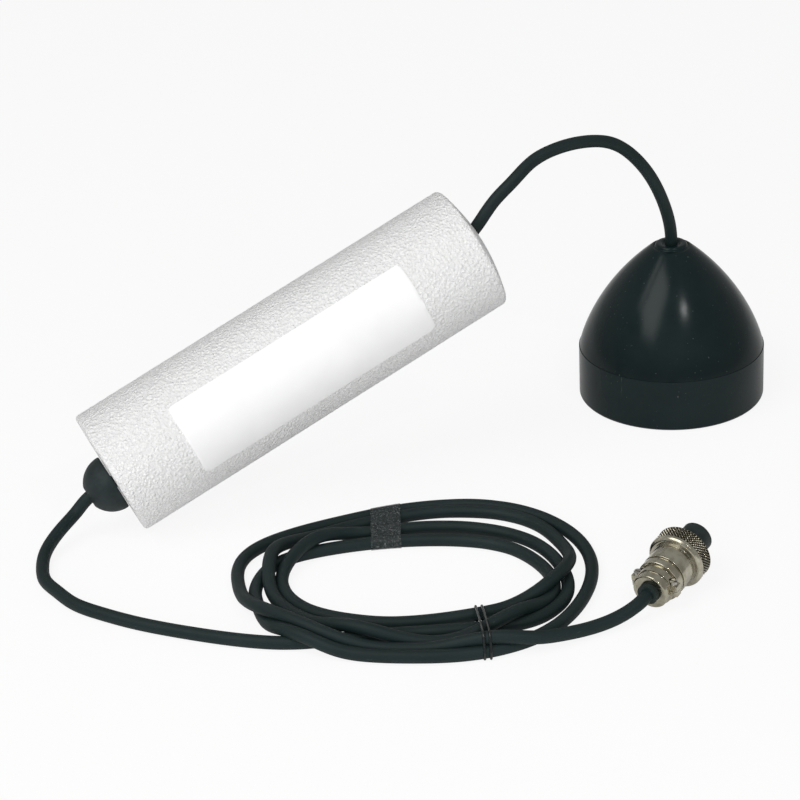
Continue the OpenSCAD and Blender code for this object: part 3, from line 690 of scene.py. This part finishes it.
def makeFloat():
    # each point of the turned profile sinks along its normal: fine pebbles, then broad shallow dents
    s = foamSet
    grid = turnedGrid(foamProfile(), s["sides"])
    outward = np.cross(np.roll(grid, -1, 1) - np.roll(grid, 1, 1), np.roll(grid, -1, 0) - np.roll(grid, 1, 0))
    outward = unit(outward).reshape(-1, 3)
    flat = grid.reshape(-1, 3)
    pebble = nearestGrain(flat, s["pebble"], s["seed"])
    dent = nearestGrain(flat, s["dent"], s["seed"] + 1)
    sink = s["pebbleDepth"] * np.clip(pebble, 0, 1)**s["pebbleCurve"]
    sink += s["dentDepth"] * np.clip(s["dentReach"] - dent, 0, 1)
    grid = (flat - outward * sink[:, None]).reshape(grid.shape)
    piece = makePiece("foam_float_body", onFloat(grid), finishes["foam"], "float",
                      wrapRows=True, crease=80, replaces=("foam_float",))
    return piece


labelSet = {"from": 26.0, "to": 113.0, "turnFrom": 219.0, "turnTo": 288.0, "corner": 1.4, "proud": 0.2,
            "sunk": 0.35, "waver": 0.03, "rows": 40, "sides": 240}


def makeLabel():
    # rounded rectangle filled from its middle by shrunken copies, then rolled round the float
    s = labelSet
    high = (s["to"] - s["from"]) / 2
    wide = np.radians(s["turnTo"] - s["turnFrom"]) / 2 * floatSet["radius"]
    centre = (s["from"] + s["to"]) / 2
    middle = np.radians((s["turnFrom"] + s["turnTo"]) / 2)
    box = np.array([[-1, -1], [1, -1], [1, 1], [-1, 1]]) * [high, wide]
    rim = eased(box, s["corner"], 12)
    rim = evenly(np.vstack([rim, rim[:1]]), s["sides"] + 1)[:-1]
    fill = np.linspace(1, 0, s["rows"] + 1)[:-1]
    top = floatSet["radius"] + s["proud"]
    under = floatSet["radius"] - s["sunk"]
    # back, wall and rounded lip, face
    scale = np.concatenate([[0.35, 0.998], [1.0, 1.0, 0.9985], fill[1:]])
    lift = np.concatenate([[under, under], [under + 0.05, top - 0.06, top], np.full(len(fill) - 1, top)])
    flat = scale[:, None, None] * rim[None]
    along = flat[..., 0] + centre
    angle = middle + flat[..., 1] / floatSet["radius"]
    waver = s["waver"] * np.sin(along * 0.21 + 1.3 * angle) * np.sin(angle * 9 + 0.07 * along)
    radius = lift[:, None] + np.where(lift[:, None] >= top, waver, 0)
    local = np.stack([radius * np.cos(angle), radius * np.sin(angle), along], -1)
    tips = [onFloat([r * np.cos(middle), r * np.sin(middle), centre]) for r in (under, top)]
    return makePiece("bare_label", onFloat(local), finishes["label"], "float", poles=tips,
                     crease=50, replaces=("float_label",))


stopSet = {"radius": 9.4, "rim": 0.6, "ballTo": 66, "ballRows": 30, "bore": 2.12, "lip": (3.1, 9.35),
           "throat": 2.6, "dimple": 8.7, "sides": 96, "start": -0.2, "low": 3.2}


def makeStop():
    # flat face against the float, half ball and a dimple round the cable
    s = stopSet
    rise = np.radians(np.linspace(0, s["ballTo"], s["ballRows"]))
    ball = np.stack([s["radius"] * np.cos(rise), s["rim"] + s["radius"] * np.sin(rise)], 1)
    corners = np.vstack([[(s["bore"], 0), (s["radius"] - 0.15, 0)], ball,
                         [s["lip"], (s["throat"], s["dimple"] + 0.1), (s["bore"], s["dimple"])]])
    cuts = np.full(len(corners), 0.2)
    cuts[-4:-1] = 0.4
    axes = floatAxes * np.array([[1], [-1], [-1]])
    grid = turnedGrid(eased(corners, cuts, 4), s["sides"])
    return makePiece("cable_stop", placed(grid, inFloat(s["start"], -s["low"]), axes), finishes["stop"],
                     "transducer", wrapRows=True, replaces=("float_stop",))


floatBody, floatLabel, floatStop = makeFloat(), makeLabel(), makeStop()
print("float, label and stop made")


# knurled coupling ring of the plug
ringSet = {"outer": 9.2, "rear": 15.6, "rearFlat": 8.4, "rearEdge": 16.4, "front": 22.2, "frontFlat": 8.85,
           "bandFrom": (17.18, 17.25), "bandTo": (21.79, 21.86), "lip": 7.2, "lipTo": 16.75, "bore": 8.15,
           "knurlFrom": 17.3, "knurlTo": 21.75, "knurlRows": 44, "knurls": 54, "knurlDepth": 0.42,
           "threadDepth": 0.3, "threadPitch": 1.0, "boreRows": 30, "sides": 504}


def makeRing():
    # turned profile: lip, rear edge, knurled band, front edge and threaded bore
    s = ringSet
    count, boreCount = s["knurlRows"], s["boreRows"]
    knurlRows = np.linspace(s["knurlFrom"], s["knurlTo"], count)
    boreRows = np.linspace(s["front"] - 0.35, s["lipTo"] + 0.25, boreCount)
    bandFrom, bandTo = ([(s["outer"], q) for q in s[key]] for key in ("bandFrom", "bandTo"))
    rear = eased([(s["lip"], s["rear"]), (s["rearFlat"], s["rear"]), (s["outer"], s["rearEdge"]), *bandFrom],
                 0.42, 6)[6:]
    nose = eased([*bandTo, (s["frontFlat"], s["front"]), (s["bore"] + 0.1, s["front"]),
                  (s["bore"], s["front"] - 0.3)], 0.2, 5)[5:-5]
    profile = np.vstack([[(s["lip"], s["rear"] + 0.15), (s["lip"] + 0.15, s["rear"])], rear,
                         np.stack([np.full(count, s["outer"]), knurlRows], 1), nose,
                         np.stack([np.full(boreCount, s["bore"]), boreRows], 1),
                         [(s["bore"], s["lipTo"]), (s["lip"] + 0.1, s["lipTo"]),
                          (s["lip"], s["lipTo"] - 0.1)]])
    grid = turnedGrid(profile, s["sides"])
    turn = evenTurn(s["sides"])
    rows = np.arange(len(profile))[:, None]
    along = profile[:, 1][:, None]
    # knurl: two crossing sets of V grooves, the nearer one gives the depth
    lead = s["knurls"] * (along - s["knurlFrom"]) / s["outer"]
    first = np.abs((s["knurls"] * turn[None] + lead) / (2 * np.pi) % 1 - 0.5) * 2
    other = np.abs((s["knurls"] * turn[None] - lead) / (2 * np.pi) % 1 - 0.5) * 2
    start = len(rear) + 2
    inKnurl = (rows >= start) & (rows < start + count)
    groove = np.where(inKnurl, 1 - np.minimum(np.minimum(first, other) * 1.25, 1), 0)
    dip = s["knurlDepth"] * groove
    # thread: one helical V ridge a pitch apart, which stands in from the bore
    boreStart = start + count + len(nose)
    inThread = (rows >= boreStart) & (rows < boreStart + boreCount)
    helix = np.abs((along / s["threadPitch"] - turn[None] / (2 * np.pi)) % 1 - 0.5) * 2
    dip = dip + np.where(inThread, s["threadDepth"] * helix, 0)
    scale = 1 - dip / np.linalg.norm(grid[..., :2], axis=-1)
    grid[..., :2] *= scale[..., None]
    # the groove mask also goes to the finish as dip, where it paints shade into the knurl grooves
    return makePiece("knurled_ring", onPlug(grid), finishes["knurl"],
                     "coupling_ring", wrapRows=True, crease=28, replaces=("coupling_ring",), dip=groove)


shellSet = {
    "corners": [(3.32, 0), (5.8, 0), (5.8, 2.7), (6.2, 2.7), (6.2, 5.7), (7.05, 5.7), (7.05, 8.3),
                (6.55, 8.3), (6.55, 9), (7.15, 9)],
    "cuts": [0.05, 0.6, 0.15, 0.1, 0.1, 0.4, 0.5, 0.1, 0.1, 0.3],
    "barrel": (11.4, 13.8, 25), "barrelRadius": 7.15, "barrelCut": 0.02,
    "front": [(7.15, 14.75), (6.65, 14.75), (6.65, 15.55), (7.15, 15.55), (7.15, 16.8), (6.15, 16.8),
              (6.15, 11), (4.4, 11), (4.4, 7.5), (3.32, 7.5)],
    "frontCut": 0.08, "clamp": (2.7, 5.7), "clampTop": 6.4, "seat": 3.4, "screwAt": 12.6, "screwTurn": -20.0,
    "screwHole": 1.0, "holeDepth": 0.4, "holeFrom": 7, "sides": 180,
}


def makeShell():
    # turned profile with eased edges; its clamp is cut back to the seat on the saddle's side,
    # and a round hole for the set screw is sunk into the barrel
    s = shellSet
    barrel = [(s["barrelRadius"], q) for q in np.linspace(*s["barrel"])]
    corners = s["corners"] + barrel + s["front"]
    cuts = s["cuts"] + [s["barrelCut"]] * len(barrel) + [s["frontCut"]] * len(s["front"])
    profile = eased(corners, cuts, 5)
    turn = evenTurn(s["sides"])
    radius = np.repeat(profile[:, :1], s["sides"], 1)
    along = np.repeat(profile[:, 1:], s["sides"], 1)
    hair = 1e-6
    inClamp = (along > s["clamp"][0] - hair) & (along < s["clamp"][1] + hair)
    cutBack = inClamp & (radius > s["seat"]) & (radius < s["clampTop"]) & (np.cos(turn) > hair)
    radius = np.where(cutBack, s["seat"], radius)
    around = (turn - np.radians(s["screwTurn"]) + np.pi) % (2 * np.pi) - np.pi
    apart = np.hypot(around * radius, along - s["screwAt"])
    radius = radius - np.where((apart < s["screwHole"]) & (radius > s["holeFrom"]), s["holeDepth"], 0)
    grid = np.stack([radius * np.cos(turn), radius * np.sin(turn), along], -1)
    return makePiece("plug_back_shell", onPlug(grid), finishes["nickel"],
                     "transducer", wrapRows=True, crease=40, replaces=("back_shell",))


earSet = {"middle": (-0.9, 5.6, 4.25), "half": (0.9, 2.2, 1.3), "corner": 0.45,
          "levels": (-1, -0.96, -0.86, 0.86, 0.96, 1), "draw": (0.93, 0.98, 1, 1, 0.98, 0.93)}


def makeEar(name, side):
    # rounded block: an eased rectangle carried up the ear's thickness, drawn in a little at both ends
    s = earSet
    thick, wide, long = s["half"]
    rim = eased([(-wide, -long), (wide, -long), (wide, long), (-wide, long)], s["corner"], 8)
    height = np.array(s["levels"]) * thick
    flat = np.array(s["draw"])[:, None, None] * rim
    up, across, along = s["middle"]
    grid = np.stack([np.broadcast_to(height[:, None] + up, flat.shape[:2]), flat[..., 0] + across * side,
                     flat[..., 1] + along], -1)
    tips = [onPlug([up + lift, across * side, along]) for lift in (-thick, thick)]
    return makePiece(name, onPlug(grid), finishes["nickel"], "transducer", poles=tips)


ring, shell = makeRing(), makeShell()
ears = [makeEar("clamp_ear_left", -1), makeEar("clamp_ear_right", 1)]
print("coupling ring, shell and ears made")


# tie and tape round the coil, fitted to the strands that they hold
def onFloor(pair):
    # (x, y) as a point or direction at floor level
    return np.array([*pair, 0.0])


def strandsAt(point, facing, reach):
    # where the cable crosses an upright plane: (distance across, height) of each strand within reach
    facing = unit(onFloor(facing))
    across = np.array([-facing[1], facing[0], 0.0])
    apart = (cablePath - onFloor(point)) @ facing
    k = np.nonzero(apart[:-1] * apart[1:] < 0)[0]
    part = (apart[k] / (apart[k] - apart[k + 1]))[:, None]
    hit = cablePath[k] + part * (cablePath[k + 1] - cablePath[k])
    flat = np.stack([(hit - onFloor(point)) @ across, hit[:, 2]], 1)
    return flat[np.abs(flat[:, 0]) < reach], across


def wrapOutline(strands, radius, low, count):
    # taut line round a set of circles: the furthest circle in each direction, then even steps
    turn = np.linspace(0, 2 * np.pi, 1441)
    way = np.stack([np.cos(turn), np.sin(turn)], 1)
    furthest = np.argmax(way @ strands.T, axis=1)
    line = strands[furthest] + radius * way
    line[:, 1] = np.maximum(line[:, 1], low)
    return evenly(line, count + 1)[:-1]


def stood(spot, line, across):
    # an outline of (distance across, height) set up at a spot on the floor
    return spot + line[:, :1] * across + line[:, 1:] * np.array([0, 0, 1.0])


tieSet = {"at": (-55.4, -172.2), "facing": (1, 0.17), "reach": 15, "radius": 0.42, "apart": 1.9, "sunk": 0.2,
          "count": 150, "sides": 12}


def makeTie():
    # two round strands, each a small circle carried along the taut line round the turns
    s = tieSet
    strands, across = strandsAt(s["at"], s["facing"], s["reach"])
    facing = unit(onFloor(s["facing"]))
    line = wrapOutline(strands, cableSet["diameter"] / 2 + s["radius"] - s["sunk"], s["radius"], s["count"])
    section = circle(s["radius"], s["sides"])
    made = []
    for number, shift in enumerate((-0.5, 0.5)):
        loop = stood(onFloor(s["at"]) + facing * shift * s["apart"], line, across)
        along = unit(np.roll(loop, -1, 0) - np.roll(loop, 1, 0))
        out = np.cross(along, facing)
        grid = loop[:, None] + section[None, :, :1] * out[:, None] + section[None, :, 1:] * facing
        made.append(makePiece("coil_tie_strand_%d" % number, grid[::-1], finishes["tie"],
                              "transducer", wrapRows=True))
    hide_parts("coil_tie")
    return made


tapeSet = {"at": (-91.0, -104.5), "facing": (1, 0.1), "reach": 16, "width": 9.6, "stations": 21, "count": 140,
           "film": 0.16, "lift": 0.1, "low": 0.02}


def makeTape():
    # the taut line round the turns at each station across the tape, once outside and once inside the film
    s = tapeSet
    facing = unit(onFloor(s["facing"]))
    shells = []
    for shift in np.linspace(-0.5, 0.5, s["stations"]) * s["width"]:
        spot = onFloor(s["at"]) + facing * shift
        strands, across = strandsAt(spot[:2], s["facing"], s["reach"])
        both = [wrapOutline(strands, cableSet["diameter"] / 2 + grow, low, s["count"])
                for grow, low in ((s["lift"] + s["film"], s["low"]), (s["lift"], s["low"] + s["film"]))]
        shells.append([stood(spot, line, across) for line in both])
    shells = np.array(shells)
    grid = np.concatenate([shells[:, 0], shells[::-1, 1]])
    return makePiece("coil_tape_band", grid[::-1], finishes["tape"], "transducer",
                     wrapRows=True, crease=50, replaces=("coil_tape",))


ties, tape = makeTie(), makeTape()
print("tie and tape made")

# CAD nodes that keep their shape take a finish of their own
nodeFinish = {
    "piezo_disc": "ceramic", "crystal_sleeve": "cork", "crystal_backing": "cork", "solder_beads": "solder",
    "crystal_leads": "copper", "cable_anchor": "insert", "potting_fill": "resin",
    "clamp_saddle": "nickel", "clamp_screws": "steel", "cable_sleeve": "insert", "plug_body": "nickel",
    "retaining_ring": "steel", "contact_insert": "insert", "contact_sockets": "brass", "core_wires": "copper",
    "set_screw": "steel",
}
for name, finish in nodeFinish.items():
    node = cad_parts[name]
    node.data.materials.clear()
    node.data.materials.append(finishes[finish])

cableSet["diameter"] * mm

# studio: pale floor, soft lamps, white surround
floorSet = {"reach": 3.0, "colour": tone(0.92, 0.92, 0.92), "lift": 0.88}
lampSet = {
    "leftStrip": {"at": (-0.62, -0.60, 1.0), "aim": (-0.06, -0.06, 0.03), "size": (0.85, 0.85),
                  "power": 6.4, "mirrored": True},
    "frontLamp": {"at": (0.41, -0.785, 0.97), "aim": (-0.06, -0.08, 0.03), "size": (0.14, 0.05),
                  "power": 1.6, "mirrored": True},
    "lowFill": {"at": (-0.06, -1.12, 0.36), "aim": (-0.12, -0.08, 0.03), "size": (0.7, 0.5),
                "power": 5.3, "mirrored": False},
}
surround = {"ambient": 0.30, "mirrored": 0.12}


def seenRays(nodes):
    # 1 where the camera looks straight at the surface,
    # and a share of it in reflections and through clear pieces
    seen, glossy, clear = (nodes.node("ShaderNodeLightPath", out=f"Is {kind} Ray")
                           for kind in ("Camera", "Glossy", "Transmission"))
    return seen + (glossy + clear) * surround["mirrored"]


def makeFloor():
    # one large flat square, lifted towards white where the camera sees it
    reach = floorSet["reach"]
    mesh = bpy.data.meshes.new("studioFloor")
    mesh.from_pydata([(-reach, -reach, 0), (reach, -reach, 0), (reach, reach, 0), (-reach, reach, 0)], [],
                     [(0, 1, 2, 3)])
    material = bpy.data.materials.new("floorPaper")
    material.use_nodes = True
    nodes = NodeSet(material.node_tree)
    material.node_tree.nodes.remove(material.node_tree.nodes["Principled BSDF"])
    paper = nodes.node("ShaderNodeBsdfDiffuse", None, {"Color": floorSet["colour"]})
    glow = nodes.node("ShaderNodeEmission", None, {"Color": tone(1, 1, 1), "Strength": 1.0})
    lifted = seenRays(nodes) * floorSet["lift"]
    mixed = nodes.node("ShaderNodeMixShader", None, {0: lifted, 1: paper, 2: glow})
    plugIn(material.node_tree, material.node_tree.nodes["Material Output"].inputs["Surface"], mixed)
    mesh.materials.append(material)
    floor = bpy.data.objects.new("studioFloor", mesh)
    scene.collection.objects.link(floor)


def makeLamps():
    # each lamp's z axis points away from its aim
    for name, s in lampSet.items():
        lamp = bpy.data.lights.new(name, "AREA")
        lamp.shape = "RECTANGLE"
        lamp.size, lamp.size_y = s["size"]
        lamp.energy = s["power"]
        back = unit(np.array(s["at"]) - np.array(s["aim"]))
        side = unit(np.cross([0, 0, 1.0], back))
        pose = np.eye(4)
        pose[:3, 0], pose[:3, 1], pose[:3, 2], pose[:3, 3] = side, np.cross(back, side), back, s["at"]
        spot = bpy.data.objects.new(name, lamp)
        scene.collection.objects.link(spot)
        spot.visible_glossy = s["mirrored"]
        spot.matrix_world = Matrix(pose.tolist())


def makeSurround():
    # soft light on the object, white behind it
    world = bpy.data.worlds.new("studioSurround")
    world.use_nodes = True
    scene.world = world
    nodes = NodeSet(world.node_tree)
    soft = nodes.node("ShaderNodeBackground", None, {"Color": tone(1, 1, 1), "Strength": surround["ambient"]})
    white = nodes.node("ShaderNodeBackground", None, {"Color": tone(1, 1, 1), "Strength": 1.0})
    mixed = nodes.node("ShaderNodeMixShader", None, {0: seenRays(nodes), 1: soft, 2: white})
    plugIn(world.node_tree, world.node_tree.nodes["World Output"].inputs["Surface"], mixed)


makeFloor()
makeLamps()
makeSurround()
print("studio lit")
